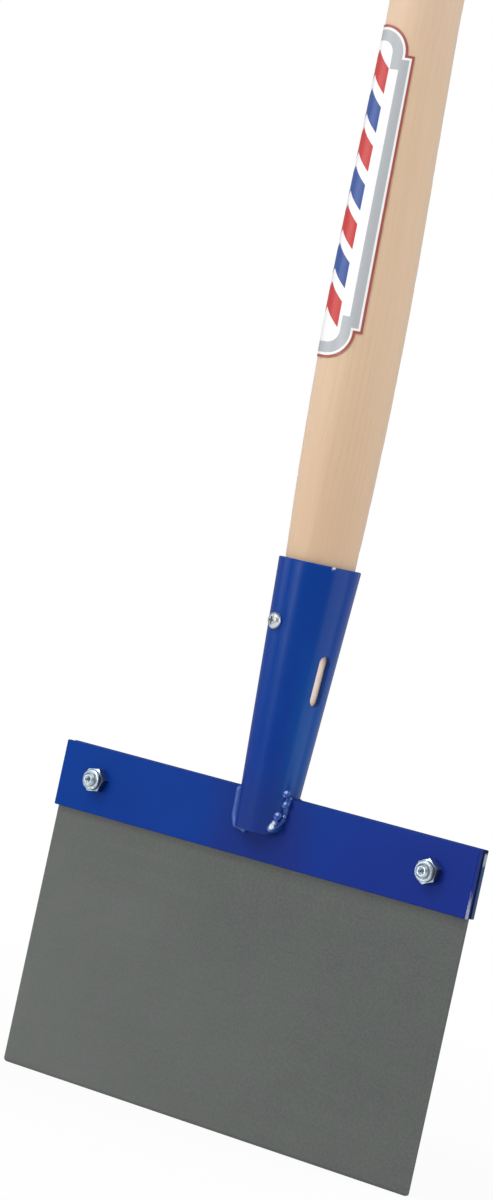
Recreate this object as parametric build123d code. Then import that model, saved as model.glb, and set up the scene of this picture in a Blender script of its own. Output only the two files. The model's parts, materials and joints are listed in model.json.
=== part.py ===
from build123d import *
import math
import os

# Concrete scraper: a steel blade bolted between two plates, a rolled socket welded over the
# plates, and an ash handle screwed into the socket. Millimetres.
# +Z runs up the tool, -Y is the front with the nuts, +X is the right seen from the front, and
# the origin is the middle of the scraping edge.

# Blade
blade_width = 220.0
blade_reach = 120.0  # steel that shows below the plates
blade_thickness = 2.5
blade_corner_radius = 1.2
bevel_depth = 0.9  # how far the ground bevel cuts into the front face
bevel_height = 1.4

# Holder plates
plate_thickness = 2.5
plate_height = 30.0
plate_overhang = 1.0  # plate past the blade on each side
plate_edge_round = 0.5
blade_side_clearance = 0.05  # between the blade and each plate
blade_top_drop = 0.6  # blade below the top of the plates

# Bolts, washers and lock nuts
bolt_inset = 20.4  # bolt centre in from the side of the blade
bolt_below_top = 14.5  # bolt centre below the top of the plates
bolt_diameter = 6.0
bolt_hole_clearance = 0.3  # round the bolt, in blade and plates
bolt_head_flats = 10.0
bolt_head_height = 4.0
bolt_end_proud = 2.0  # bolt past the nut
bolt_end_chamfer = 0.8
bolt_cup_diameter = 3.2  # dish in the end of the bolt
bolt_cup_depth = 0.9
washer_diameter = 12.0
washer_thickness = 1.6
washer_hole_clearance = 0.2
nut_flats = 10.0
nut_hexagon_height = 4.2
nut_collar_height = 1.8
nut_collar_wall = 0.7
nut_lip_width = 0.4  # crimped lip that keeps the nylon ring in
nut_lip_height = 0.3
insert_wall = 0.9  # nylon ring, bore to outside
thread_clearance = 0.05
nut_turn = {"left": 8.0, "right": 23.0}  # how far each nut stopped round, in degrees
hexagon_chamfer_angle = 30.0

# Socket
socket_length = 120.0
socket_mouth_radius = 18.4
socket_end_radius = 12.4
socket_wall = 2.5
socket_overlap = 17.5  # socket down over the plates
socket_rim_round = 0.6
tongue_corner_radius = 6.0
seam_gap = 0.5  # open butt seam at the back
slot_length = 23.0
slot_width = 6.5
slot_below_mouth = 50.0
slot_angle = 77.0  # round from the front to the right, in degrees

# Screw that holds the handle
screw_below_mouth = 28.0
screw_angle = -21.0
screw_diameter = 4.2
screw_length = 20.0
screw_tip_length = 4.0
screw_head_diameter = 7.6
screw_head_height = 2.5
screw_head_side = 0.5  # straight side below the crown
screw_recess_length = 3.4
screw_recess_width = 1.0
screw_recess_depth = 1.5
screw_hole_clearance = 0.25
pilot_clearance = 0.05

# Handle
handle_length = 1300.0
handle_tilt = 2.9  # lean to the front above the socket, in degrees
handle_fit = 0.3  # between the tenon and the inside of the socket
tenon_end_gap = 5.0  # tenon above the plates
tenon_chamfer = 2.0
grip_radius = 16.0
swell_radius = 18.1
shoulder_radius = 16.9
waist_radius = 16.5
shoulder_above_mouth = 32.0
swell_above_shoulder = 73.0
waist_above_swell = 100.0
grip_above_waist = 57.0  # where the straight grip starts
handle_end_flat = 4.0  # radius of the flat on the rounded end

# Label
label_width = 46.0  # round the thickest part of the handle
label_length = 146.0
label_below_grip = 27.0  # top of the label below the straight grip
label_angle = -42.0  # middle of the label round from the front, in degrees
label_shoulder = 3.2  # step in at each side, where the rounded ends start
label_round_width = 12.0  # round at each corner of the ends
label_round_length = 12.5
label_thickness = 0.2
glue_gap = 0.1

# Welds
weld_size = 2.5  # mean radius of a drop
weld_drops = 7
weld_drop_change = 0.3  # drops differ from the mean by this much
weld_top_drop = 0.5  # middle of the first drop below the top of the plates
weld_corner_turn = 50.0  # how far the bead runs round the corner of the tongue, in degrees
weld_corner_lift = 3.0  # bead off the plate at its low end

# Working extra that cuts reach past what they cut
cut_margin = 5.0

# Places that follow from the sizes
plate_inner = blade_thickness / 2 + blade_side_clearance
holder_half = plate_inner + plate_thickness
holder_top = blade_reach + plate_height
plate_width = blade_width + 2 * plate_overhang
blade_height = holder_top - blade_top_drop
bolt_height = holder_top - bolt_below_top
socket_bottom = holder_top - socket_overlap
socket_top = socket_bottom + socket_length
socket_slope = (socket_mouth_radius - socket_end_radius) / socket_length
neck_radius = socket_mouth_radius - socket_wall - handle_fit
swell_above_mouth = shoulder_above_mouth + swell_above_shoulder
waist_above_mouth = swell_above_mouth + waist_above_swell
grip_above_mouth = waist_above_mouth + grip_above_waist
label_above_mouth = grip_above_mouth - label_below_grip - label_length / 2
label_half_angle = math.degrees(label_width / 2 / swell_radius)
nut_height = nut_hexagon_height + nut_collar_height
nut_bore_radius = bolt_diameter / 2 + thread_clearance
insert_radius = nut_bore_radius + insert_wall
sides = {"left": -1, "right": 1}

mouth_centre = Vector(0, 0, socket_top)
handle_direction = Vector(0, -math.sin(math.radians(handle_tilt)), math.cos(math.radians(handle_tilt)))


def socket_radius(height):
    """Outer radius of the socket at a height."""
    return socket_end_radius + socket_slope * (height - socket_bottom)


def outward(angle):
    """Level direction at an angle round from the front to the right."""
    return Vector(math.sin(math.radians(angle)), -math.cos(math.radians(angle)), 0)


def handle_plane(distance):
    """Plane square to the handle, at a distance above the socket's mouth."""
    return Plane(mouth_centre + handle_direction * distance, x_dir=(1, 0, 0), z_dir=handle_direction)


def front_to_back(x, z, radius):
    """Cylinder through blade and plates."""
    depth = 2 * (holder_half + cut_margin)
    return Plane((x, 0, z), z_dir=(0, 1, 0)) * Cylinder(radius, depth)


def bolt_positions():
    """Bolt centre of each side, as x."""
    return {name: sign * (blade_width / 2 - bolt_inset) for name, sign in sides.items()}


def drill_for_bolts(solid):
    """Take both bolt holes out of a plate."""
    for x in bolt_positions().values():
        solid -= front_to_back(x, bolt_height, bolt_diameter / 2 + bolt_hole_clearance)
    return solid


def make_blade():
    half = blade_thickness / 2
    section = Polyline(
        (half, 0),
        (half, blade_height),
        (-half, blade_height),
        (-half, bevel_height),
        (bevel_depth - half, 0),
        close=True,
    )
    plate = extrude(Plane.YZ * make_face(section), blade_width / 2, both=True)
    outline = Pos(0, blade_height / 2) * Rectangle(blade_width, blade_height)
    low_corners = outline.vertices().sort_by(Axis.Y)[:2]
    outline = fillet(low_corners, blade_corner_radius)
    plate &= extrude(Plane.XZ * outline, blade_thickness, both=True)
    return drill_for_bolts(plate)


def make_plate():
    """The plate at the front."""
    plate = Box(plate_width, plate_thickness, plate_height, align=(Align.CENTER, Align.MAX, Align.MIN))
    plate = fillet(plate.edges(), plate_edge_round)
    return drill_for_bolts(Pos(0, -plate_inner, blade_reach) * plate)


def make_socket():
    profile = Polyline(
        (socket_end_radius - socket_wall, socket_bottom),
        (socket_end_radius, socket_bottom),
        (socket_mouth_radius, socket_top),
        (socket_mouth_radius - socket_wall, socket_top),
        close=True,
    )
    wall = make_face(profile)
    wall = fillet(wall.vertices().sort_by(Axis.Y)[-2:], socket_rim_round)
    socket = revolve(Plane.XZ * wall, Axis.Z)
    hanging = (Align.CENTER, Align.CENTER, Align.MAX)
    slit = Box(2 * socket_mouth_radius, 2 * holder_half, socket_overlap + cut_margin, align=hanging)
    socket -= Pos(0, 0, holder_top) * slit
    for sign in sides.values():
        socket -= tongue_corner(sign)
    to_the_back = (Align.CENTER, Align.MIN, Align.CENTER)
    seam = Box(seam_gap, socket_mouth_radius + cut_margin, socket_length + cut_margin, align=to_the_back)
    socket -= Pos(0, 0, socket_bottom + socket_length / 2) * seam
    slot_plane = Plane((0, 0, socket_top - slot_below_mouth), x_dir=(0, 0, 1), z_dir=outward(slot_angle))
    socket -= extrude(slot_plane * SlotOverall(slot_length, slot_width), socket_mouth_radius + cut_margin)
    return socket - screw_bore(screw_hole_clearance)


def tongue_corner(sign):
    """What is cut away to round one low corner of both tongues."""
    radius = tongue_corner_radius
    inner = socket_end_radius - radius
    reach = radius + cut_margin
    block = Pos(inner, socket_bottom + radius - reach) * Rectangle(reach, reach, align=Align.MIN)
    block -= Pos(inner, socket_bottom + radius) * Circle(radius)
    corner = extrude(Plane.XZ * block, socket_mouth_radius + cut_margin, both=True)
    return corner if sign > 0 else mirror(corner, Plane.YZ)


def screw_plane():
    """Seat of the screw head, square to the outside of the socket."""
    height = socket_top - screw_below_mouth
    radial = outward(screw_angle)
    seat = radial * socket_radius(height) + Vector(0, 0, height)
    return Plane(seat, x_dir=(0, 0, 1), z_dir=radial - Vector(0, 0, socket_slope))


def screw_shank(radius):
    """Shank and point, down from the seat."""
    straight = screw_length - screw_tip_length
    shank = Cylinder(radius, straight, align=(Align.CENTER, Align.CENTER, Align.MAX))
    tip = Cone(0, radius, screw_tip_length, align=(Align.CENTER, Align.CENTER, Align.MAX))
    return shank + Pos(0, 0, -straight) * tip


def screw_bore(clearance):
    return screw_plane() * screw_shank(screw_diameter / 2 + clearance)


def make_screw():
    head = Cylinder(
        screw_head_diameter / 2, screw_head_height, align=(Align.CENTER, Align.CENTER, Align.MIN)
    )
    crown = head.edges().filter_by(GeomType.CIRCLE).sort_by(Axis.Z)[-1]
    head = fillet(crown, screw_head_height - screw_head_side)
    for turn in (0, 90):
        arm = Box(
            screw_recess_length,
            screw_recess_width,
            screw_recess_depth,
            align=(Align.CENTER, Align.CENTER, Align.MAX),
        )
        head -= Pos(0, 0, screw_head_height) * Rot(0, 0, turn) * arm
    return screw_plane() * (head + screw_shank(screw_diameter / 2))


def handle_body(extra):
    """The handle from the mouth to the straight grip, grown all round by an extra."""
    stations = (
        (shoulder_above_mouth, shoulder_radius),
        (swell_above_mouth, swell_radius),
        (waist_above_mouth, waist_radius),
        (grip_above_mouth, grip_radius),
    )
    circles = [Plane(mouth_centre) * Circle(neck_radius + extra)]
    circles += [handle_plane(distance) * Circle(radius + extra) for distance, radius in stations]
    return loft(circles)


def make_handle():
    tenon_bottom = holder_top + tenon_end_gap
    tenon_length = socket_top - tenon_bottom
    tenon = Pos(0, 0, tenon_bottom) * Cone(
        neck_radius - socket_slope * tenon_length,
        neck_radius,
        tenon_length,
        align=(Align.CENTER, Align.CENTER, Align.MIN),
    )
    tenon = chamfer(tenon.edges().filter_by(GeomType.CIRCLE).sort_by(Axis.Z)[0], tenon_chamfer)
    grip_length = handle_length - tenon_length - grip_above_mouth
    grip = Cylinder(grip_radius, grip_length, align=(Align.CENTER, Align.CENTER, Align.MIN))
    top_edge = grip.edges().filter_by(GeomType.CIRCLE).sort_by(Axis.Z)[-1]
    grip = handle_plane(grip_above_mouth) * fillet(top_edge, grip_radius - handle_end_flat)
    return tenon + handle_body(0) + grip - screw_bore(pilot_clearance)


def make_label():
    label = handle_body(glue_gap + label_thickness) - handle_body(glue_gap)
    label &= label_sector()
    for side in (1, -1):
        for end in (1, -1):
            label -= label_corner(side, end)
    return label


def label_sector():
    """Wedge from the handle's middle out, as wide and as long as the label."""
    reach = 2 * (swell_radius + cut_margin)
    points = [(0, 0)]
    for turn in (-label_half_angle, 0, label_half_angle):
        out = outward(label_angle + turn)
        points.append((reach * out.X, reach * out.Y))
    wedge = make_face(Polyline(*points, close=True))
    return extrude(handle_plane(label_above_mouth - label_length / 2) * wedge, label_length)


def label_corner(side, end):
    """What is cut away at one corner of the label: the step in, and the round of its end."""
    across = handle_plane(label_above_mouth + end * (label_length / 2 - label_round_length))
    level = outward(label_angle + side * label_half_angle)
    out = across.x_dir * level.X + across.y_dir * level.Y
    face = Plane(across.origin, x_dir=out.cross(-handle_direction), z_dir=out)
    inset = label_shoulder + label_round_width
    width = inset + cut_margin
    height = label_round_length + cut_margin
    block = Pos(side * (width / 2 - inset), end * height / 2) * Rectangle(width, height)
    block -= Pos(-side * inset, 0) * Ellipse(label_round_width, label_round_length)
    return extrude(face * block, swell_radius + cut_margin)


def hexagon(flats, height):
    """Hexagon prism, its upper corners turned off."""
    corner_radius = flats / math.sqrt(3)
    drop = (corner_radius - flats / 2) * math.tan(math.radians(hexagon_chamfer_angle))
    prism = extrude(RegularPolygon(corner_radius, 6), height)
    turned = Polyline(
        (0, 0),
        (corner_radius, 0),
        (corner_radius, height - drop),
        (flats / 2, height),
        (0, height),
        close=True,
    )
    return prism & revolve(Plane.XZ * make_face(turned), Axis.Z)


def make_nut(turn):
    collar_radius = insert_radius + nut_collar_wall
    collar = Cylinder(collar_radius, nut_height, align=(Align.CENTER, Align.CENTER, Align.MIN))
    crown = collar.edges().filter_by(GeomType.CIRCLE).sort_by(Axis.Z)[-1]
    nut = Rot(0, 0, turn) * hexagon(nut_flats, nut_hexagon_height) + fillet(crown, nut_collar_wall)
    upright = (Align.CENTER, Align.CENTER, Align.MIN)
    nut -= Cylinder(nut_bore_radius, nut_height, align=upright)
    seat = Cylinder(insert_radius, nut_collar_height - nut_lip_height, align=upright)
    mouth = Cylinder(insert_radius - nut_lip_width, nut_collar_height, align=upright)
    return nut - Pos(0, 0, nut_hexagon_height) * (seat + mouth)


def make_insert():
    ring = Circle(insert_radius) - Circle(nut_bore_radius)
    return Pos(0, 0, nut_hexagon_height) * extrude(ring, nut_collar_height - nut_lip_height)


def make_washer():
    ring = Circle(washer_diameter / 2) - Circle(bolt_diameter / 2 + washer_hole_clearance)
    return extrude(ring, washer_thickness)


def make_bolt():
    length = washer_thickness + 2 * holder_half + nut_height + bolt_end_proud
    shank = Cylinder(bolt_diameter / 2, length, align=(Align.CENTER, Align.CENTER, Align.MAX))
    low_edge = shank.edges().filter_by(GeomType.CIRCLE).sort_by(Axis.Z)[0]
    shank = chamfer(low_edge, bolt_end_chamfer) - Pos(0, 0, -length) * bolt_cup()
    return hexagon(bolt_head_flats, bolt_head_height) + shank


def bolt_cup():
    """Ball that leaves the dish, with the rim of the dish at zero height."""
    radius = (bolt_cup_diameter**2 / 4 + bolt_cup_depth**2) / (2 * bolt_cup_depth)
    return Pos(0, 0, bolt_cup_depth - radius) * Sphere(radius)


def weld_path(share):
    """Place of a drop of the bead on the right, with the blade's middle plane as zero depth."""
    inner = socket_end_radius - tongue_corner_radius
    corner_height = socket_bottom + tongue_corner_radius
    straight = holder_top - weld_top_drop - corner_height
    curved = math.radians(weld_corner_turn) * tongue_corner_radius
    run = share * (straight + curved)
    if run <= straight:
        height = holder_top - weld_top_drop - run
        return math.sqrt(socket_radius(height) ** 2 - holder_half**2), holder_half, height
    turn = (run - straight) / tongue_corner_radius
    across = math.sqrt(socket_radius(corner_height) ** 2 - holder_half**2) - socket_end_radius
    x = inner + across + tongue_corner_radius * math.cos(turn)
    lift = weld_corner_lift * (run - straight) / curved
    return x, holder_half + lift, corner_height - tongue_corner_radius * math.sin(turn)


def make_weld(plate, socket):
    """The bead at the front on the right, as a row of drops run together."""
    blade_space = Box(plate_width, 2 * plate_inner, 2 * holder_top)
    drops = []
    for number in range(weld_drops):
        x, depth, height = weld_path(number / (weld_drops - 1))
        radius = weld_size + weld_drop_change * (-1) ** number
        drops.append(Pos(x, -depth, height) * Sphere(radius))
    bead = drops[0].fuse(*drops[1:]) - plate - socket - blade_space
    return bead.solids().sort_by(SortBy.VOLUME)[-1]


def make_parts():
    front_plate = make_plate()
    socket = make_socket()
    parts = {
        "blade": make_blade(),
        "holder_plate_front": front_plate,
        "holder_plate_back": mirror(front_plate, Plane.XZ),
        "socket": socket,
        "handle": make_handle(),
        "handle_label": make_label(),
        "socket_screw": make_screw(),
    }
    for name, x in bolt_positions().items():
        front = Plane((x, -holder_half, bolt_height), x_dir=(1, 0, 0), z_dir=(0, -1, 0))
        back = Plane((x, holder_half, bolt_height), x_dir=(1, 0, 0), z_dir=(0, 1, 0))
        parts[f"blade_bolt_{name}"] = back * Pos(0, 0, washer_thickness) * make_bolt()
        parts[f"bolt_washer_{name}"] = back * make_washer()
        parts[f"lock_nut_{name}"] = front * make_nut(nut_turn[name])
        parts[f"nut_insert_{name}"] = front * make_insert()
    front_right = make_weld(front_plate, socket)
    front_left = mirror(front_right, Plane.YZ)
    parts["weld_front_left"] = front_left
    parts["weld_front_right"] = front_right
    parts["weld_back_left"] = mirror(front_left, Plane.XZ)
    parts["weld_back_right"] = mirror(front_right, Plane.XZ)
    return parts


os.makedirs("parts", exist_ok=True)
for node, solid in make_parts().items():
    export_step(solid, f"parts/{node}.step")
    print(node, round(solid.volume, 1))
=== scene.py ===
import json
import math
import bmesh
import bpy
from mathutils import Matrix, Quaternion, Vector


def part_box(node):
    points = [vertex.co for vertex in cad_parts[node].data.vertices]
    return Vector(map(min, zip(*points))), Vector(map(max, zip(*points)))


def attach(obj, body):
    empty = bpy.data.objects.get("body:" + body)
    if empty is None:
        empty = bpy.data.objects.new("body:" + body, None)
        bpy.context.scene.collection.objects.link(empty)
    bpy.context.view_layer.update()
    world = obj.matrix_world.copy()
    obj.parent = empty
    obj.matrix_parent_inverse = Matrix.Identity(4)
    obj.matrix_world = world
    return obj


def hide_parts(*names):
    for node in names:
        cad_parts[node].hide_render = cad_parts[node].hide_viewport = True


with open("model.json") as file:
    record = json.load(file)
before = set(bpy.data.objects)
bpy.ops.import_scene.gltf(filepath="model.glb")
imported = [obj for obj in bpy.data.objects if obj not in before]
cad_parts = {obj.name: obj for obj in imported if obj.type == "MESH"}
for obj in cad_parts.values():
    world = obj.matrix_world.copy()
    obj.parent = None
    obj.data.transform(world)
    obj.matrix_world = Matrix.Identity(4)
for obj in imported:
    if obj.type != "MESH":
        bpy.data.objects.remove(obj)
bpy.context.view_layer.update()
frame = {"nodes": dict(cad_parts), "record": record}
nodes = frame["nodes"]
mounts = {mount["name"]: mount for mount in frame["record"]["mounts"]}
handleAxis = Vector(mounts["handle_grip"]["axis"])
handleLean = math.atan2(-handleAxis.y, handleAxis.z)
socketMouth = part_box("socket")[1][2]
plateLow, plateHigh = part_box("holder_plate_front")
plateEnd = plateHigh[0]
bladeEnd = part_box("blade")[1][0]
boltLow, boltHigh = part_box("blade_bolt_right")
boltPlace = (Vector(boltLow) + Vector(boltHigh)) / 2
endSkin = 0.0003  # what counts as the cut end of a plate or the blade
print("frame loaded:", len(nodes), "nodes")


def srgb(red, green, blue):  # 0-255 as seen on a screen, to the linear colour a socket takes
    steps = [level / 255 for level in (red, green, blue)]
    return [s / 12.92 if s <= 0.04045 else ((s + 0.055) / 1.055) ** 2.4 for s in steps] + [1.0]


def plug(tree, socket, value):  # a link where the value is a socket, otherwise a plain number
    if isinstance(value, bpy.types.NodeSocket):
        tree.links.new(value, socket)
    else:
        socket.default_value = value


def put(tree, kind, inputs=None, settings=None):
    node = tree.nodes.new(kind)
    for name, value in (settings or {}).items():
        setattr(node, name, value)
    for name, value in (inputs or {}).items():
        plug(tree, node.inputs[name], value)
    return node


def calc(tree, operation, first, second=0.0):
    return put(tree, "ShaderNodeMath", {0: first, 1: second}, {"operation": operation}).outputs[0]


def product(tree, first, *others):
    for other in others:
        first = calc(tree, "MULTIPLY", first, other)
    return first


def remap(tree, value, low, high, toLow=0.0, toHigh=1.0, curve="SMOOTHSTEP"):
    inputs = {"Value": value, "From Min": low, "From Max": high, "To Min": toLow, "To Max": toHigh}
    return put(tree, "ShaderNodeMapRange", inputs, {"interpolation_type": curve}).outputs["Result"]


def blend(tree, factor, first, second, mode="MIX"):
    settings = {"data_type": "RGBA", "blend_type": mode}
    return put(tree, "ShaderNodeMix", {0: factor, 6: first, 7: second}, settings).outputs[2]


def vectorCalc(tree, operation, first, second=(0, 0, 0), output=0):
    settings = {"operation": operation}
    return put(tree, "ShaderNodeVectorMath", {0: first, 1: second}, settings).outputs[output]


def cloud(tree, vector, scale, detail=2.0, roughness=0.5):
    inputs = {"Vector": vector, "Scale": scale, "Detail": detail, "Roughness": roughness}
    return put(tree, "ShaderNodeTexNoise", inputs).outputs["Fac"]


def newGroup(name, inputs, outputs):  # inputs: socket name to its kind and first value
    group = bpy.data.node_groups.new(name, "ShaderNodeTree")
    for socketName, (kind, value) in inputs.items():
        socket = group.interface.new_socket(socketName, in_out="INPUT", socket_type=kind)
        if value is not None:
            socket.default_value = value
    for socketName, kind in outputs.items():
        group.interface.new_socket(socketName, in_out="OUTPUT", socket_type=kind)
    start = group.nodes.new("NodeGroupInput")
    end = group.nodes.new("NodeGroupOutput")
    return group, start.outputs, end.inputs


def useGroup(tree, group, inputs):
    return put(tree, "ShaderNodeGroup", inputs, {"node_tree": group}).outputs


def newMaterial(name):
    material = bpy.data.materials.new(name)
    material.use_nodes = True
    tree = material.node_tree
    tree.nodes.clear()
    end = put(tree, "ShaderNodeOutputMaterial")
    shader = put(tree, "ShaderNodeBsdfPrincipled")
    tree.links.new(shader.outputs[0], end.inputs["Surface"])
    place = put(tree, "ShaderNodeTexCoord").outputs["Object"]
    return material, tree, shader, place


def setShader(tree, shader, values):
    for name, value in values.items():
        plug(tree, shader.inputs[name], value)


def bump(tree, height, distance, strength):
    inputs = {"Height": height, "Distance": distance, "Strength": strength}
    return put(tree, "ShaderNodeBump", inputs).outputs["Normal"]


# effects that several finishes share

effects = {
    "edgeTurn": (0.99, 0.86),  # cosine between the flat normal and the rounded one
    "edgeSamples": 6,
    "chipFade": 0.06,
    "middle": 0.5,  # of a cloud's levels
    "span": (0.3, 0.7),  # where most of a cloud's levels lie
    "speckScale": 23.0,  # times as fine as the patches
    "speckLevels": (0.62, 0.72),
    "markScale": 2.7,  # times as fine as the lines
    "markLevels": (0.66, 0.74),
    "driftSway": 0.15,
}


def makeEdgeWear():  # where edges are, and chips scattered along them
    inputs = {"Place": ("NodeSocketVector", None), "Radius": ("NodeSocketFloat", 0.0006),
              "Breakup": ("NodeSocketFloat", 300.0), "Cover": ("NodeSocketFloat", 0.5)}
    outputs = {"Edge": "NodeSocketFloat", "Chips": "NodeSocketFloat"}
    group, given, result = newGroup("edgeWear", inputs, outputs)
    soft = put(group, "ShaderNodeBevel", {"Radius": given["Radius"]},
               {"samples": effects["edgeSamples"]}).outputs[0]
    flat = put(group, "ShaderNodeNewGeometry").outputs["Normal"]
    turned = vectorCalc(group, "DOT_PRODUCT", soft, flat, "Value")
    edge = remap(group, turned, *effects["edgeTurn"])
    patches = cloud(group, given["Place"], given["Breakup"], detail=3.0, roughness=0.6)
    limit = calc(group, "SUBTRACT", 1.0, given["Cover"])
    worn = remap(group, patches, limit, calc(group, "ADD", limit, effects["chipFade"]))
    plug(group, result["Edge"], edge)
    plug(group, result["Chips"], calc(group, "MULTIPLY", edge, worn))
    return group


def makeMottle():  # wide patches and fine specks
    inputs = {"Place": ("NodeSocketVector", None), "Size": ("NodeSocketFloat", 0.03),
              "Spread": ("NodeSocketFloat", 0.2)}
    outputs = {"Patches": "NodeSocketFloat", "Specks": "NodeSocketFloat"}
    group, given, result = newGroup("mottle", inputs, outputs)
    scale = calc(group, "DIVIDE", 1.0, given["Size"])
    wide = cloud(group, given["Place"], scale, detail=4.0, roughness=0.55)
    low = calc(group, "SUBTRACT", effects["middle"], given["Spread"])
    high = calc(group, "ADD", effects["middle"], given["Spread"])
    plug(group, result["Patches"], remap(group, wide, low, high))
    finer = calc(group, "MULTIPLY", scale, effects["speckScale"])
    fine = cloud(group, given["Place"], finer, detail=2.0, roughness=0.6)
    plug(group, result["Specks"], remap(group, fine, *effects["speckLevels"]))
    return group


def makeStreaks():  # lines drawn out along the axis with the smallest number in Across
    inputs = {"Place": ("NodeSocketVector", None), "Across": ("NodeSocketVector", (1.0, 1.0, 1.0)),
              "Soft": ("NodeSocketFloat", 0.2)}
    outputs = {"Lines": "NodeSocketFloat", "Marks": "NodeSocketFloat"}
    group, given, result = newGroup("streaks", inputs, outputs)
    drawn = vectorCalc(group, "MULTIPLY", given["Place"], given["Across"])
    lines = cloud(group, drawn, 1.0, detail=5.0, roughness=0.6)
    low = calc(group, "SUBTRACT", effects["middle"], given["Soft"])
    high = calc(group, "ADD", effects["middle"], given["Soft"])
    plug(group, result["Lines"], remap(group, lines, low, high))
    marks = cloud(group, drawn, effects["markScale"], detail=1.0, roughness=0.4)
    plug(group, result["Marks"], remap(group, marks, *effects["markLevels"]))
    return group


def makeAlongHandle():  # the place seen from the handle: z up its own axis, zero at the socket's mouth
    inputs = {"Place": ("NodeSocketVector", None)}
    group, given, result = newGroup("alongHandle", inputs, {"Spot": "NodeSocketVector"})
    values = {"Vector": given["Place"], "Location": (0, 0, socketMouth), "Rotation": (handleLean, 0, 0)}
    turned = put(group, "ShaderNodeMapping", values, {"vector_type": "TEXTURE"})
    plug(group, result["Spot"], turned.outputs[0])
    return group


def makeDrift():  # a slow turn from one tone to another along Way, uneven in patches
    inputs = {"Place": ("NodeSocketVector", None), "Way": ("NodeSocketVector", (1.0, 0.0, 0.0)),
              "Patches": ("NodeSocketFloat", 0.5), "From": ("NodeSocketFloat", 0.0),
              "To": ("NodeSocketFloat", 1.0)}
    group, given, result = newGroup("drift", inputs, {"Share": "NodeSocketFloat"})
    along = vectorCalc(group, "DOT_PRODUCT", given["Place"], given["Way"], "Value")
    sway = effects["driftSway"]
    along = calc(group, "ADD", along, remap(group, given["Patches"], 0.0, 1.0, -sway, sway))
    plug(group, result["Share"], remap(group, along, given["From"], given["To"]))
    return group


def makeCutEnds():  # the left and right ends of a flat piece
    inputs = {"Place": ("NodeSocketVector", None), "From": ("NodeSocketFloat", 0.1)}
    group, given, result = newGroup("cutEnds", inputs, {"Ends": "NodeSocketFloat"})
    axes = put(group, "ShaderNodeSeparateXYZ", {0: given["Place"]}).outputs
    across = calc(group, "ABSOLUTE", axes["X"])
    plug(group, result["Ends"], calc(group, "GREATER_THAN", across, given["From"]))
    return group


edgeWear = makeEdgeWear()
mottle = makeMottle()
streaks = makeStreaks()
alongHandle = makeAlongHandle()
drift = makeDrift()
cutEnds = makeCutEnds()
print("shared effects made")


# finishes

bluePaint = {
    "deep": srgb(18, 42, 126),
    "light": srgb(3, 54, 136),
    "drift": (-4.5, 0.0, 5.0),  # the way in which the blue turns from deep to light
    "driftSpan": (0.2, 1.2),
    "thinAndHighlight": srgb(48, 80, 156),  # thin paint on edges, and a painted highlight over the weld beads
    # painted light: a lighter blue low on the right of the socket
    "paintedLight": srgb(0, 76, 150),
    "paintedLightAcross": (0.0075, 0.0135),  # where that painted light lies, low on the right of the socket
    "paintedLightDown": (0.235, 0.175),
    "scorchAndShade": srgb(42, 18, 26),  # brown showing through round the welds, with painted shade on the socket's foot and the plate below it
    "scorchAndShadeDown": (0.168, 0.140),  # it grows from one height or half width to the next
    "scorchAndShadeAcross": (0.034, 0.014),
    "steel": srgb(196, 200, 206),  # bare chips, and painted highlights on the lowest weld drop and the plates' cut ends
    "endShade": srgb(62, 80, 94),  # painted shade on the ends of the back plate
    # painted shade in the back plate's top corner
    "paintedShade": srgb(16, 20, 38),
    "peel": 420.0,  # lumps of the paint film per metre
    "peelHeight": 0.0001,
    "peelRelief": 0.2,
    "roughnessSpan": 0.06,  # from patch to patch
    "plates": {"roughness": 0.28, "gloss": 0.06, "tint": (1.0, 1.0, 1.0, 1.0),
               "paintedHighlight": 0.0, "paintedLight": 0.0, "scorchAndShade": 0.18},
    "socket": {"roughness": 0.19, "gloss": 0.23, "tint": (0.82, 1.0, 0.95, 1.0),
               "paintedHighlight": 0.0, "paintedLight": 0.6, "scorchAndShade": 0.18},
    # the drops and runs get a painted highlight over the whole bead
    "drops": {"roughness": 0.18, "gloss": 1.0, "tint": (0.55, 0.72, 1.0, 1.0),
              "paintedHighlight": 0.4, "paintedLight": 0.0, "scorchAndShade": 0.0},
    "runs": {"roughness": 0.20, "gloss": 1.0, "tint": (0.55, 0.72, 1.0, 1.0),
             "paintedHighlight": 0.95, "paintedLight": 0.0, "scorchAndShade": 0.0},
    "wear": {"Radius": 0.0005, "Breakup": 260.0, "Cover": 0.40},
    "patches": {"Size": 0.06, "Spread": 0.25},
    "edgeShare": 0.3,
    # where paint is knocked off, and how far; the two on the lowest weld drop are a painted highlight
    "knocksAndHighlight": [((0.0147, -0.0111, 0.2524), 0.0011),  # the socket's rim
               ((0.0102, -0.0097, 0.1366), 0.0014),  # a painted highlight on the lowest drop of weld
               ((0.0106, -0.0092, 0.1383), 0.0009)],
    "knockFade": 0.8,
    "ragged": (0.6, 1.4),  # how far the rim of a knock strays
    "raggedScale": 1500.0,
    "endsFrom": plateEnd - endSkin,
    "wornAndHighlightFront": (0.134, 0.121),  # heights between which the front plate's ends get more rubbed bare, partly wear and partly a painted highlight
    "wornAndHighlightFrontShare": 0.55,
    "wornAndHighlightBack": (0.142, 0.145),  # the same at the back, up to a corner of painted shade
    "wornAndHighlightBackShare": 0.5,
    "waver": 0.004,  # how far those heights stray
    "waverScale": 260.0,
    # heights over which the back plate's top corner turns to painted shade
    "cornerShadeBack": (0.1475, 0.1490),
    "endShadeShare": 0.8,
}


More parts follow.
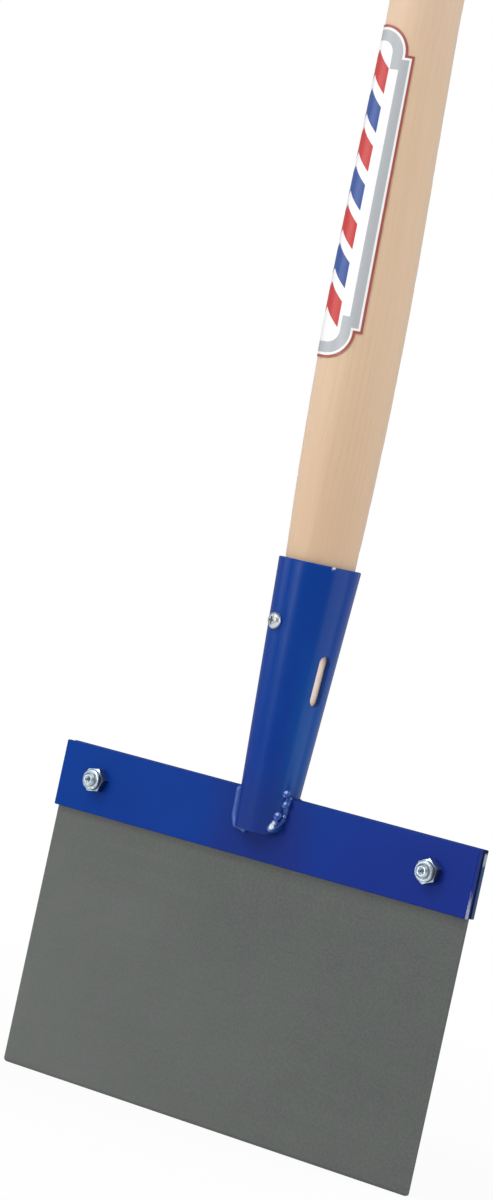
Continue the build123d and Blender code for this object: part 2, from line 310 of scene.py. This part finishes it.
def makePaintCoat():  # colour of the paint: thin, scorched and chipped places, with painted light, painted highlights and painted shade
    inputs = {"Place": ("NodeSocketVector", None), "PaintedHighlight": ("NodeSocketFloat", 0.0),
              "PaintedLight": ("NodeSocketFloat", 0.0), "ScorchAndShade": ("NodeSocketFloat", 0.0)}
    outputs = {"Colour": "NodeSocketColor", "Patches": "NodeSocketFloat", "Peel": "NodeSocketFloat"}
    group, given, result = newGroup("paintCoat", inputs, outputs)
    place = given["Place"]
    axes = put(group, "ShaderNodeSeparateXYZ", {0: place}).outputs
    wear = useGroup(group, edgeWear, {"Place": place, **bluePaint["wear"]})
    tone = useGroup(group, mottle, {"Place": place, **bluePaint["patches"]})
    low, high = bluePaint["driftSpan"]
    share = useGroup(group, drift, {"Place": place, "Way": bluePaint["drift"], "Patches": tone["Patches"],
                                    "From": low, "To": high})["Share"]
    colour = blend(group, share, bluePaint["deep"], bluePaint["light"])
    # painted light low on the right of the socket
    lowRight = product(group, remap(group, axes["X"], *bluePaint["paintedLightAcross"]),
                       remap(group, axes["Z"], *bluePaint["paintedLightDown"]))
    colour = blend(group, product(group, lowRight, given["PaintedLight"]), colour, bluePaint["paintedLight"])
    # brown scorch round the welds, with painted shade on the socket's foot and the plate below it
    nearWeld = product(group, remap(group, axes["Z"], *bluePaint["scorchAndShadeDown"]),
                       remap(group, calc(group, "ABSOLUTE", axes["X"]), *bluePaint["scorchAndShadeAcross"]))
    colour = blend(group, product(group, nearWeld, given["ScorchAndShade"]), colour, bluePaint["scorchAndShade"])
    # thin paint on edges, and the painted highlight over the weld beads
    thinAndHighlight = product(group, wear["Edge"], bluePaint["edgeShare"])
    thinAndHighlight = calc(group, "MAXIMUM", thinAndHighlight, given["PaintedHighlight"])
    colour = blend(group, thinAndHighlight, colour, bluePaint["thinAndHighlight"])
    bareAndHighlight = product(group, wear["Chips"], tone["Specks"])
    ragged = cloud(group, place, bluePaint["raggedScale"])
    ragged = remap(group, ragged, *effects["span"], *bluePaint["ragged"], "LINEAR")
    # knocks, and the painted highlight on the lowest weld drop
    for spot, size in bluePaint["knocksAndHighlight"]:
        away = product(group, vectorCalc(group, "DISTANCE", place, spot, "Value"), ragged)
        knocked = remap(group, away, size, size * bluePaint["knockFade"])
        bareAndHighlight = calc(group, "MAXIMUM", bareAndHighlight, knocked)
    ends = useGroup(group, cutEnds, {"Place": place, "From": bluePaint["endsFrom"]})["Ends"]
    backEnd = product(group, ends, calc(group, "GREATER_THAN", axes["Y"], 0.0))
    frontEnd = calc(group, "SUBTRACT", ends, backEnd)
    # the plates' cut ends rubbed bare: partly wear, partly a painted highlight
    waver = cloud(group, place, bluePaint["waverScale"], detail=3.0, roughness=0.7)
    waver = remap(group, waver, *effects["span"], -bluePaint["waver"], bluePaint["waver"])
    uneven = calc(group, "ADD", axes["Z"], waver)
    wornAndHighlightFront = remap(group, uneven, *bluePaint["wornAndHighlightFront"], 0.0, bluePaint["wornAndHighlightFrontShare"])
    wornAndHighlightBack = remap(group, uneven, *bluePaint["wornAndHighlightBack"], 0.0, bluePaint["wornAndHighlightBackShare"])
    wornAndHighlight = calc(group, "MAXIMUM", product(group, frontEnd, wornAndHighlightFront),
                  product(group, backEnd, wornAndHighlightBack))
    # painted shade in the back plate's top corner
    cornerShade = product(group, backEnd, remap(group, axes["Z"], *bluePaint["cornerShadeBack"]))
    bareAndHighlight = calc(group, "MAXIMUM", bareAndHighlight, wornAndHighlight)
    bareAndHighlight = product(group, bareAndHighlight, calc(group, "SUBTRACT", 1.0, cornerShade))
    # painted shade on the back plate's ends
    colour = blend(group, product(group, backEnd, bluePaint["endShadeShare"]), colour, bluePaint["endShade"])
    colour = blend(group, cornerShade, colour, bluePaint["paintedShade"])
    plug(group, result["Colour"], blend(group, bareAndHighlight, colour, bluePaint["steel"]))
    plug(group, result["Patches"], tone["Patches"])
    plug(group, result["Peel"], cloud(group, place, bluePaint["peel"]))
    return group


paintCoat = makePaintCoat()


def makeBluePaint(name, coat):
    material, tree, shader, place = newMaterial(name)
    paint = useGroup(tree, paintCoat, {"Place": place, "PaintedHighlight": coat["paintedHighlight"], "PaintedLight": coat["paintedLight"],
                                       "ScorchAndShade": coat["scorchAndShade"]})
    smooth = coat["roughness"]
    setShader(tree, shader, {
        "Base Color": paint["Colour"],
        "Roughness": remap(tree, paint["Patches"], 0.0, 1.0, smooth, smooth + bluePaint["roughnessSpan"]),
        "Specular IOR Level": coat["gloss"],
        "Specular Tint": coat["tint"],
        "Normal": bump(tree, paint["Peel"], bluePaint["peelHeight"], bluePaint["peelRelief"]),
    })
    return material


bladeSteel = {
    "base": srgb(90, 93, 91),
    "dark": srgb(71, 74, 74),
    "pale": srgb(99, 102, 98),
    "drift": (-5.0, 0.0, -4.2),  # paler to the left and below
    "driftSpan": (-0.75, 0.6),
    "patches": {"Size": 0.06, "Spread": 0.25},
    "stain": srgb(80, 87, 77),
    "stains": {"Size": 0.014, "Spread": 0.25},
    "stainShare": 0.4,
    "rolling": {"Across": (8.0, 8.0, 700.0), "Soft": 0.25},
    "rollingShare": 0.12,
    "rollingHeight": 0.00002,
    "rollingRelief": 0.3,
    "grit": 900.0,  # fine speckle, grains per metre
    "gritLevels": (0.35, 0.65),
    "gritShare": 0.3,
    "wear": {"Radius": 0.0003, "Breakup": 400.0, "Cover": 0.6},
    "edgeShare": 0.5,
    "paintedShade": srgb(26, 40, 62),  # painted shade on the blade's ends between the plates
    "paintedShadeShare": 0.9,
    "endsFrom": bladeEnd - endSkin,
    "metallic": 0.3,
    "roughness": (0.45, 0.58),
}


def makeBladeSteel():
    material, tree, shader, place = newMaterial("bladeSteel")
    tone = useGroup(tree, mottle, {"Place": place, **bladeSteel["patches"]})
    rolled = useGroup(tree, streaks, {"Place": place, **bladeSteel["rolling"]})["Lines"]
    wear = useGroup(tree, edgeWear, {"Place": place, **bladeSteel["wear"]})
    low, high = bladeSteel["driftSpan"]
    share = useGroup(tree, drift, {"Place": place, "Way": bladeSteel["drift"], "Patches": tone["Patches"],
                                   "From": low, "To": high})["Share"]
    colour = blend(tree, share, bladeSteel["dark"], bladeSteel["base"])
    stain = useGroup(tree, mottle, {"Place": place, **bladeSteel["stains"]})["Patches"]
    colour = blend(tree, product(tree, stain, bladeSteel["stainShare"]), colour, bladeSteel["stain"])
    colour = blend(tree, product(tree, rolled, bladeSteel["rollingShare"]), colour, bladeSteel["pale"])
    grit = cloud(tree, place, bladeSteel["grit"], roughness=0.6)
    grit = remap(tree, grit, *bladeSteel["gritLevels"], 0.0, bladeSteel["gritShare"])
    colour = blend(tree, grit, colour, bladeSteel["pale"])
    colour = blend(tree, product(tree, wear["Edge"], bladeSteel["edgeShare"]), colour, bladeSteel["pale"])
    height = put(tree, "ShaderNodeSeparateXYZ", {0: place}).outputs["Z"]
    ends = useGroup(tree, cutEnds, {"Place": place, "From": bladeSteel["endsFrom"]})["Ends"]
    # painted shade on the blade's ends between the plates
    between = product(tree, ends, calc(tree, "GREATER_THAN", height, plateLow[2]))
    colour = blend(tree, product(tree, between, bladeSteel["paintedShadeShare"]), colour, bladeSteel["paintedShade"])
    setShader(tree, shader, {
        "Base Color": colour,
        "Metallic": bladeSteel["metallic"],
        "Roughness": remap(tree, rolled, 0.0, 1.0, *bladeSteel["roughness"]),
        "Normal": bump(tree, rolled, bladeSteel["rollingHeight"], bladeSteel["rollingRelief"]),
    })
    return material


ashWood = {
    "base": srgb(210, 179, 147),
    "pale": srgb(215, 186, 155),
    "ring": srgb(198, 164, 130),
    "pore": srgb(172, 138, 108),
    "freshAndLit": srgb(255, 231, 210),  # the tenon, turned clean and kept from the light, and paler still as painted light in the slot's shade
    "freshAndLitFrom": (-0.001, -0.004),
    "pith": (0.041, 0.058, 0.0),  # middle of the tree, beside the handle
    "ringGap": 0.0031,
    "ringSlope": 0.009,  # rings cross the handle slowly along its length
    "ringFade": (0.45, 0.0),  # share of a ring over which its early wood fades
    "ringStart": (0.0, 0.05),
    "ringShare": 0.32,
    "sway": (18.0, 18.0, 1.6),  # waves in the rings per metre, and how far they reach
    "swayReach": 0.016,
    "faint": (70.0, 70.0, 9.0),  # places per metre where the rings are faint
    "faintLevels": (0.4, 0.65),
    "fibre": {"Across": (1500.0, 1500.0, 16.0), "Soft": 0.3},
    "fibreShare": 0.3,
    "fibreHeight": 0.00005,
    "fibreRelief": 0.35,
    "broad": {"Across": (120.0, 120.0, 2.5), "Soft": 0.3},
    "poresBetween": 0.25,  # share of the pores that shows outside the early wood
    "poreShare": 0.6,
    "lowerDarkening": (0.11, 0.0),  # heights above the socket between which the wood darkens
    "lowerDarkeningShare": 0.5,
    "upperPaling": srgb(222, 196, 176),
    "upperPalingFrom": (0.20, 0.31),  # heights between which the wood turns paler
    "upperPalingShare": 0.6,
    "roughness": (0.5, 0.62),
    "gloss": 0.6,
    "sheen": 0.32,
    "sheenRoughness": 0.5,
}


def makeAshWood():
    material, tree, shader, place = newMaterial("ashWood")
    spot = useGroup(tree, alongHandle, {"Place": place})["Spot"]
    fibre = useGroup(tree, streaks, {"Place": spot, **ashWood["fibre"]})
    broad = useGroup(tree, streaks, {"Place": spot, **ashWood["broad"]})
    height = put(tree, "ShaderNodeSeparateXYZ", {0: spot}).outputs["Z"]
    level = vectorCalc(tree, "MULTIPLY", spot, (1.0, 1.0, 0.0))
    reach = vectorCalc(tree, "DISTANCE", level, ashWood["pith"], "Value")
    sway = cloud(tree, vectorCalc(tree, "MULTIPLY", spot, ashWood["sway"]), 1.0)
    reach = calc(tree, "ADD", reach, product(tree, sway, ashWood["swayReach"]))
    reach = calc(tree, "ADD", reach, product(tree, height, ashWood["ringSlope"]))
    phase = calc(tree, "FRACT", calc(tree, "DIVIDE", reach, ashWood["ringGap"]))
    early = product(tree, remap(tree, phase, *ashWood["ringFade"]),
                    remap(tree, phase, *ashWood["ringStart"]))
    faint = cloud(tree, vectorCalc(tree, "MULTIPLY", spot, ashWood["faint"]), 1.0)
    early = product(tree, early, remap(tree, faint, *ashWood["faintLevels"]))
    pores = product(tree, fibre["Marks"], remap(tree, early, 0.0, 1.0, ashWood["poresBetween"], 1.0))
    colour = blend(tree, broad["Lines"], ashWood["base"], ashWood["pale"])
    colour = blend(tree, product(tree, early, ashWood["ringShare"]), colour, ashWood["ring"])
    colour = blend(tree, product(tree, fibre["Lines"], ashWood["fibreShare"]), colour, ashWood["ring"])
    colour = blend(tree, product(tree, pores, ashWood["poreShare"]), colour, ashWood["pore"])
    # darker towards the socket
    lowerDarkening = remap(tree, height, *ashWood["lowerDarkening"], 0.0, ashWood["lowerDarkeningShare"])
    colour = blend(tree, lowerDarkening, colour, ashWood["ring"])
    # paler higher up the handle
    upperPaling = remap(tree, height, *ashWood["upperPalingFrom"], 0.0, ashWood["upperPalingShare"])
    colour = blend(tree, upperPaling, colour, ashWood["upperPaling"])
    # the tenon's clean wood, paler still as painted light in the slot's shade
    inside = remap(tree, height, *ashWood["freshAndLitFrom"])
    colour = blend(tree, inside, colour, ashWood["freshAndLit"])
    relief = calc(tree, "SUBTRACT", fibre["Lines"], pores)
    setShader(tree, shader, {
        "Base Color": colour,
        "Roughness": remap(tree, fibre["Lines"], 0.0, 1.0, *ashWood["roughness"]),
        "Specular IOR Level": ashWood["gloss"],
        "Sheen Weight": ashWood["sheen"],
        "Sheen Roughness": ashWood["sheenRoughness"],
        "Normal": bump(tree, relief, ashWood["fibreHeight"], ashWood["fibreRelief"]),
    })
    return material


zincPlate = {
    "bright": srgb(236, 239, 242),
    "dull": srgb(184, 190, 195),
    "patches": {"Size": 0.004, "Spread": 0.2},
    "wear": {"Radius": 0.0003, "Breakup": 700.0, "Cover": 0.6},
    "edgeShare": 0.6,
    "roughness": (0.42, 0.30),
    "hollowDarkening": srgb(84, 84, 80),  # darker in the hollow end of each bolt
    "hollowDarkeningReach": (0.0014, 0.00056),
    "hollowDarkeningShare": 0.9,
    "nutTint": (0.72, 0.82, 0.90, 1.0),  # blue passivated
    "sides": srgb(112, 118, 130),  # painted shade on the nuts, where they face right or left
    "sidesReach": (0.0040, 0.0070),  # off the middle of the bolt
    "flatsAhead": (0.5, 0.2),  # the six flats that take that painted shade: how far they face ahead and up
    "flatsUp": (0.75, 0.4),
    "slopesAhead": (0.95, 0.85),  # the slope round the crown, which takes it too
    "slopesUp": (0.35, 0.2),
}


def makeZincPlate():
    material, tree, shader, place = newMaterial("zincPlate")
    patches = useGroup(tree, mottle, {"Place": place, **zincPlate["patches"]})["Patches"]
    edges = useGroup(tree, edgeWear, {"Place": place, **zincPlate["wear"]})["Edge"]
    colour = blend(tree, patches, zincPlate["dull"], zincPlate["bright"])
    colour = blend(tree, product(tree, edges, zincPlate["edgeShare"]), colour, zincPlate["bright"])
    axes = put(tree, "ShaderNodeSeparateXYZ", {0: place}).outputs
    aside = calc(tree, "SUBTRACT", calc(tree, "ABSOLUTE", axes["X"]), boltPlace.x)
    above = calc(tree, "SUBTRACT", axes["Z"], boltPlace.z)
    offCentre = put(tree, "ShaderNodeCombineXYZ", {0: aside, 1: above}).outputs[0]
    offCentre = vectorCalc(tree, "LENGTH", offCentre, output="Value")
    front = calc(tree, "LESS_THAN", axes["Y"], 0.0)
    # darker in the hollow end of each bolt
    hollow = product(tree, remap(tree, offCentre, *zincPlate["hollowDarkeningReach"]), front)
    colour = blend(tree, product(tree, hollow, zincPlate["hollowDarkeningShare"]), colour, zincPlate["hollowDarkening"])
    normal = put(tree, "ShaderNodeNewGeometry").outputs["Normal"]
    facing = put(tree, "ShaderNodeSeparateXYZ", {0: normal}).outputs
    ahead = calc(tree, "ABSOLUTE", facing["Y"])
    upright = calc(tree, "ABSOLUTE", facing["Z"])
    flats = product(tree, remap(tree, ahead, *zincPlate["flatsAhead"]),
                    remap(tree, facing["Z"], *zincPlate["flatsUp"]))
    slopes = product(tree, remap(tree, ahead, *zincPlate["slopesAhead"]),
                     remap(tree, upright, *zincPlate["slopesUp"]))
    outside, within = zincPlate["sidesReach"]
    onNut = product(tree, front, calc(tree, "LESS_THAN", offCentre, within))
    colour = blend(tree, onNut, colour, zincPlate["nutTint"], "MULTIPLY")
    # painted shade on the nuts' flats and crown slope that face left or right
    sides = product(tree, onNut, calc(tree, "GREATER_THAN", offCentre, outside))
    sides = product(tree, sides, calc(tree, "MAXIMUM", flats, slopes))
    colour = blend(tree, sides, colour, zincPlate["sides"])
    setShader(tree, shader, {
        "Base Color": colour,
        "Metallic": 1.0,
        "Roughness": remap(tree, patches, 0.0, 1.0, *zincPlate["roughness"]),
    })
    return material


nylonRing = {
    "base": srgb(225, 226, 220),
    "shade": srgb(208, 209, 200),
    "patches": {"Size": 0.003, "Spread": 0.3},
    "roughness": 0.45,
}


def makeNylon():
    material, tree, shader, place = newMaterial("nylonRing")
    patches = useGroup(tree, mottle, {"Place": place, **nylonRing["patches"]})["Patches"]
    setShader(tree, shader, {
        "Base Color": blend(tree, patches, nylonRing["shade"], nylonRing["base"]),
        "Roughness": nylonRing["roughness"],
    })
    return material


labelFilm = {
    "turn": math.radians(-42.0),  # middle of the label, round from the front
    "radius": 0.0181,
    "above": 0.162,  # middle of the label above the socket's mouth
    "width": 0.046,
    "length": 0.146,
    "shoulder": 0.0032,  # step in at each side, where the rounded ends start
    "round": (0.0120, 0.0125),  # round of each end's corners, across and along
    "white": srgb(238, 238, 239),
    "silver": srgb(172, 176, 180),
    "red": srgb(192, 44, 42),
    "rim": srgb(160, 74, 64),
    "blue": srgb(38, 74, 146),
    "keyline": 0.0011,
    "stripeInset": 0.0021,
    "stripeWidth": 0.0046,
    "columnHalf": 0.0110,
    "chevrons": 7,
    "chevronStep": 0.0170,
    "chevronShare": 0.66,
    "chevronSlope": 0.75,
    "patches": {"Size": 0.03, "Spread": 0.3},
    "patchShare": 0.06,
    "roughness": (0.28, 0.34),
    "waves": 160.0,  # in the film, per metre
    "waveHeight": 0.0002,
    "waveRelief": 0.15,
}


def makeLabelFilm():
    material, tree, shader, place = newMaterial("labelFilm")
    spot = useGroup(tree, alongHandle, {"Place": place})["Spot"]
    axes = put(tree, "ShaderNodeSeparateXYZ", {0: spot}).outputs
    around = calc(tree, "ARCTAN2", axes["X"], product(tree, axes["Y"], -1.0))
    aside = calc(tree, "ABSOLUTE", calc(tree, "SUBTRACT", around, labelFilm["turn"]))
    side = product(tree, aside, labelFilm["radius"])
    along = calc(tree, "SUBTRACT", axes["Z"], labelFilm["above"])
    end = calc(tree, "ABSOLUTE", along)
    roundWidth, roundLength = labelFilm["round"]
    bodyEnd = labelFilm["length"] / 2 - roundLength
    halfWidth = labelFilm["width"] / 2
    bodyRoom = calc(tree, "MINIMUM", calc(tree, "SUBTRACT", halfWidth, side),
                    calc(tree, "SUBTRACT", bodyEnd, end))
    level = vectorCalc(tree, "MULTIPLY", spot, (1.0, 1.0, 0.0))
    thick = vectorCalc(tree, "LENGTH", level, output="Value")
    fromSide = calc(tree, "SUBTRACT", halfWidth / labelFilm["radius"], aside)
    inward = product(tree, calc(tree, "SINE", fromSide), thick)
    past = calc(tree, "MAXIMUM", calc(tree, "SUBTRACT", labelFilm["shoulder"] + roundWidth, inward), 0.0)
    beyond = calc(tree, "MAXIMUM", calc(tree, "SUBTRACT", end, bodyEnd), 0.0)
    beyond = product(tree, beyond, roundWidth / roundLength)
    corner = put(tree, "ShaderNodeCombineXYZ", {0: past, 1: beyond}).outputs[0]
    fromCorner = vectorCalc(tree, "LENGTH", corner, output="Value")
    endRoom = calc(tree, "SUBTRACT", roundWidth, fromCorner)
    room = calc(tree, "MAXIMUM", bodyRoom, endRoom)  # to the nearest edge of the label
    keyline = calc(tree, "LESS_THAN", room, labelFilm["keyline"])
    stripeFrom = labelFilm["stripeInset"]
    stripeTo = stripeFrom + labelFilm["stripeWidth"]
    stripe = product(tree, calc(tree, "GREATER_THAN", room, stripeFrom),
                     calc(tree, "LESS_THAN", room, stripeTo))
    rise = calc(tree, "ADD", along, product(tree, side, labelFilm["chevronSlope"]))
    count = calc(tree, "DIVIDE", rise, labelFilm["chevronStep"])
    bar = calc(tree, "LESS_THAN", calc(tree, "FRACT", count), labelFilm["chevronShare"])
    bar = product(tree, bar, calc(tree, "LESS_THAN", side, labelFilm["columnHalf"]))
    fromMiddle = calc(tree, "ABSOLUTE", calc(tree, "SUBTRACT", count, 0.5))
    bar = product(tree, bar, calc(tree, "LESS_THAN", fromMiddle, labelFilm["chevrons"] / 2))
    odd = calc(tree, "PINGPONG", calc(tree, "FLOOR", count), 1.0)
    ink = blend(tree, odd, labelFilm["blue"], labelFilm["red"])
    colour = blend(tree, stripe, labelFilm["white"], labelFilm["silver"])
    colour = blend(tree, bar, colour, ink)
    colour = blend(tree, keyline, colour, labelFilm["rim"])
    patches = useGroup(tree, mottle, {"Place": place, **labelFilm["patches"]})["Patches"]
    colour = blend(tree, product(tree, patches, labelFilm["patchShare"]), colour, labelFilm["silver"])
    waves = cloud(tree, spot, labelFilm["waves"])
    setShader(tree, shader, {
        "Base Color": colour,
        "Roughness": remap(tree, patches, 0.0, 1.0, *labelFilm["roughness"]),
        "Normal": bump(tree, waves, labelFilm["waveHeight"], labelFilm["waveRelief"]),
    })
    return material


finishes = {
    "blue_paint": makeBluePaint("bluePaint", bluePaint["plates"]),
    "blade_steel": makeBladeSteel(),
    "ash_wood": makeAshWood(),
    "zinc_plate": makeZincPlate(),
    "nylon": makeNylon(),
    "label_film": makeLabelFilm(),
}
for node in nodes.values():
    for materialSlot in node.material_slots:
        materialSlot.material = finishes[materialSlot.material.name]
nodes["socket"].material_slots[0].material = makeBluePaint("socketPaint", bluePaint["socket"])
print("finishes on", len(nodes), "nodes")


# weld beads, painted over

weldBead = {
    "unit": 0.001,  # the sizes below are in mm
    "voxel": 0.28,
    "smoothing": 8,
    "step": 0.5,
    "shine": Vector((0.14, -0.90, 0.42)),  # the drops are flattened this way
    "flatness": 0.3,
    # smooth runs at the front, as turning points with a radius
    "leftRun": [(-12.6, -4.3, 148.3, 2.2), (-12.2, -4.3, 136.8, 2.2), (-10.8, -4.9, 133.4, 1.9),
                (-8.6, -4.6, 132.2, 1.0), (-6.5, -4.5, 131.7, 1.4)],
    "rightRun": [(12.7, -4.3, 149.6, 1.8), (12.3, -4.2, 140.5, 1.5), (10.4, -7.0, 135.9, 1.5)],
    # drops on the right run, as the middle of the crown with a radius
    "rightDrops": [(12.6, -7.4, 152.2, 2.2), (12.8, -6.5, 147.4, 2.1), (13.0, -6.1, 141.8, 1.5),
                   (11.2, -8.5, 142.0, 2.2), (10.7, -9.0, 138.7, 1.9), (10.1, -9.7, 136.4, 2.3)],
}


def fillRun(run):  # round lumps so close together that they melt into one smooth bead
    lumps = []
    for first, second in zip(run, run[1:]):
        start = Vector(first)
        way = Vector(second) - start
        count = math.ceil(way.length / weldBead["step"])
        lumps += [start + way * (number / count) for number in range(count)]
    return lumps + [Vector(run[-1])]


def makeWeld(name, run, drops, paint, acrossSign, depthSign):
    shape = bmesh.new()
    for across, depth, height, radius in fillRun(run):
        bmesh.ops.create_icosphere(shape, subdivisions=2, radius=radius,
                                   matrix=Matrix.Translation((across, depth, height)))
    shine = weldBead["shine"]
    for across, depth, height, radius in drops:
        low = weldBead["flatness"] * radius
        middle = Matrix.Translation(Vector((across, depth, height)) - shine * low)
        turn = shine.to_track_quat("Z", "Y").to_matrix().to_4x4()
        bmesh.ops.create_icosphere(shape, subdivisions=3, radius=1.0,
                                   matrix=middle @ turn @ Matrix.Diagonal((radius, radius, low, 1.0)))
    mesh = bpy.data.meshes.new(name)
    shape.to_mesh(mesh)
    shape.free()
    rough = bpy.data.objects.new(name, mesh)
    bpy.context.scene.collection.objects.link(rough)
    skin = rough.modifiers.new("skin", "REMESH")
    skin.mode = "VOXEL"
    skin.voxel_size = weldBead["voxel"]
    soften = rough.modifiers.new("soften", "SMOOTH")
    soften.iterations = weldBead["smoothing"]
    ready = rough.evaluated_get(bpy.context.evaluated_depsgraph_get())
    melted = bpy.data.meshes.new_from_object(ready)
    unit = weldBead["unit"]
    melted.transform(Matrix.Diagonal((unit * acrossSign, unit * depthSign, unit, 1.0)))
    if acrossSign * depthSign < 0:
        melted.flip_normals()  # a mirrored bead would be inside out
    melted.shade_smooth()
    melted.materials.append(paint)
    rough.modifiers.clear()
    rough.data = melted
    return rough


leftWeld = (weldBead["leftRun"], [], makeBluePaint("runPaint", bluePaint["runs"]))
rightWeld = (weldBead["rightRun"], weldBead["rightDrops"], makeBluePaint("dropPaint", bluePaint["drops"]))
welds = {
    "weld_front_right": (*rightWeld, 1, 1),
    "weld_front_left": (*leftWeld, 1, 1),
    "weld_back_left": (*leftWeld, 1, -1),
    "weld_back_right": (*leftWeld, -1, -1),
}
for nodeName, weld in welds.items():
    bead = makeWeld(nodeName.replace("weld", "bead"), *weld)
    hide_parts(nodeName)
    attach(bead, "root")
print("welds run:", len(welds))


# camera, floor and light

view = {
    "place": (0.8312, -1.2876, 0.2616),
    "azimuth": 33.90,
    "elevation": 1.17,
    "roll": 12.27,
    "lens": 105.0,
    "sensor": 36.0,
    "farthest": 100.0,
}


def compass(azimuth, elevation):  # level direction round from the front to the right, then up
    turn = math.radians(azimuth)
    rise = math.radians(elevation)
    return Vector((math.sin(turn) * math.cos(rise), -math.cos(turn) * math.cos(rise), math.sin(rise)))


def makeCamera():
    camera = bpy.data.objects.new("camera", bpy.data.cameras.new("camera"))
    bpy.context.scene.collection.objects.link(camera)
    ahead = -compass(view["azimuth"], view["elevation"])
    camera.location = view["place"]
    camera.rotation_mode = "QUATERNION"
    roll = Quaternion((0, 0, 1), math.radians(view["roll"]))
    camera.rotation_quaternion = ahead.to_track_quat("-Z", "Y") @ roll
    camera.data.lens = view["lens"]
    camera.data.sensor_width = view["sensor"]
    camera.data.clip_end = view["farthest"]
    bpy.context.scene.camera = camera


floor = {
    "size": 1.3,
    "colour": (0.86, 0.86, 0.86, 1.0),
    "roughness": 0.9,
    "gloss": 0.1,
    "haze": 0.92,  # share of plain white in the middle, up to all of it at the rim
    "fade": (0.25, 0.62),
}


def makeFloor():
    half = floor["size"] / 2
    mesh = bpy.data.meshes.new("floor")
    corners = [(-half, -half, 0), (half, -half, 0), (half, half, 0), (-half, half, 0)]
    mesh.from_pydata(corners, [], [(0, 1, 2, 3)])
    plane = bpy.data.objects.new("floor", mesh)
    bpy.context.scene.collection.objects.link(plane)
    material, tree, shader, place = newMaterial("floor")
    setShader(tree, shader, {
        "Base Color": floor["colour"],
        "Roughness": floor["roughness"],
        "Specular IOR Level": floor["gloss"],
    })
    far = vectorCalc(tree, "LENGTH", place, output="Value")
    fade = remap(tree, far, *floor["fade"], floor["haze"], 1.0)
    path = put(tree, "ShaderNodeLightPath").outputs
    seen = calc(tree, "MAXIMUM", path["Is Camera Ray"], path["Is Glossy Ray"])
    seen = calc(tree, "MAXIMUM", seen, path["Is Transmission Ray"])
    white = put(tree, "ShaderNodeEmission", {"Color": (1, 1, 1, 1), "Strength": 1.0})
    mixer = put(tree, "ShaderNodeMixShader", {0: product(tree, fade, seen), 1: shader.outputs[0],
                                              2: white.outputs[0]})
    end = next(n for n in tree.nodes if n.type == "OUTPUT_MATERIAL")
    tree.links.new(mixer.outputs[0], end.inputs["Surface"])
    mesh.materials.append(material)


lamps = {
    "key": {"azimuth": -27.0, "elevation": 43.0, "away": 2.0, "aim": 0.3,
            "size": (0.8, 0.8), "watts": 16.8},
    "fill": {"azimuth": 105.0, "elevation": 25.0, "away": 3.0, "aim": 0.3,
             "size": (1.8, 1.4), "watts": 20.0},
    "top": {"azimuth": 40.0, "elevation": 50.0, "away": 3.0, "aim": 0.3,
            "size": (1.8, 1.8), "watts": 13.0},
    "left": {"azimuth": -72.0, "elevation": 20.0, "away": 3.0, "aim": 0.3,
             "size": (2.0, 1.6), "watts": 5.6},
    "window": {"azimuth": -27.0, "elevation": 0.0, "away": 2.5, "aim": 0.45,
               "size": (1.45, 0.8), "watts": 8.7},
    "strip": {"azimuth": -25.0, "elevation": -2.0, "away": 2.5, "aim": 0.30,
              "size": (0.40, 0.20), "watts": 3.3},
    "side": {"azimuth": 103.0, "elevation": 0.0, "away": 2.5, "aim": 0.25,
             "size": (2.2, 1.3), "watts": 10.0},
    "pane": {"azimuth": -68.0, "elevation": 0.0, "away": 2.5, "aim": 0.45,
             "size": (1.1, 0.8), "watts": 4.5},
}


def makeLamps():
    for name, lamp in lamps.items():
        light = bpy.data.lights.new(name, "AREA")
        light.shape = "RECTANGLE"
        light.size, light.size_y = lamp["size"]
        light.energy = lamp["watts"]
        holder = bpy.data.objects.new(name, light)
        bpy.context.scene.collection.objects.link(holder)
        away = compass(lamp["azimuth"], lamp["elevation"])
        holder.location = Vector((0, 0, lamp["aim"])) + away * lamp["away"]
        holder.rotation_mode = "QUATERNION"
        holder.rotation_quaternion = (-away).to_track_quat("-Z", "Y")


room = {
    "ambient": 0.54,
    "whiteSide": 130.0,  # what shines shows a white room there and a dim one behind the camera
    "whiteEdge": (0.35, 0.65),
    "dimLevel": 0.25,
    "whiteLevel": 0.55,
}


def makeWorld():
    world = bpy.data.worlds.new("room")
    bpy.context.scene.world = world
    world.use_nodes = True
    tree = world.node_tree
    tree.nodes.clear()
    path = put(tree, "ShaderNodeLightPath").outputs
    side = put(tree, "ShaderNodeTexCoord").outputs["Generated"]
    towards = vectorCalc(tree, "DOT_PRODUCT", side, compass(room["whiteSide"], 0.0), "Value")
    mirrored = remap(tree, towards, *room["whiteEdge"], room["dimLevel"], room["whiteLevel"])
    level = product(tree, path["Is Glossy Ray"], mirrored)
    seen = calc(tree, "MAXIMUM", path["Is Camera Ray"], path["Is Transmission Ray"])
    level = calc(tree, "MAXIMUM", level, seen)
    plain = calc(tree, "SUBTRACT", 1.0, calc(tree, "MAXIMUM", seen, path["Is Glossy Ray"]))
    level = calc(tree, "ADD", level, product(tree, plain, room["ambient"]))
    sky = put(tree, "ShaderNodeBackground", {"Color": (1, 1, 1, 1), "Strength": level})
    end = put(tree, "ShaderNodeOutputWorld")
    tree.links.new(sky.outputs[0], end.inputs["Surface"])


makeCamera()
makeFloor()
makeLamps()
makeWorld()
bpy.context.scene.view_settings.view_transform = "Standard"
print("camera, floor and light set")
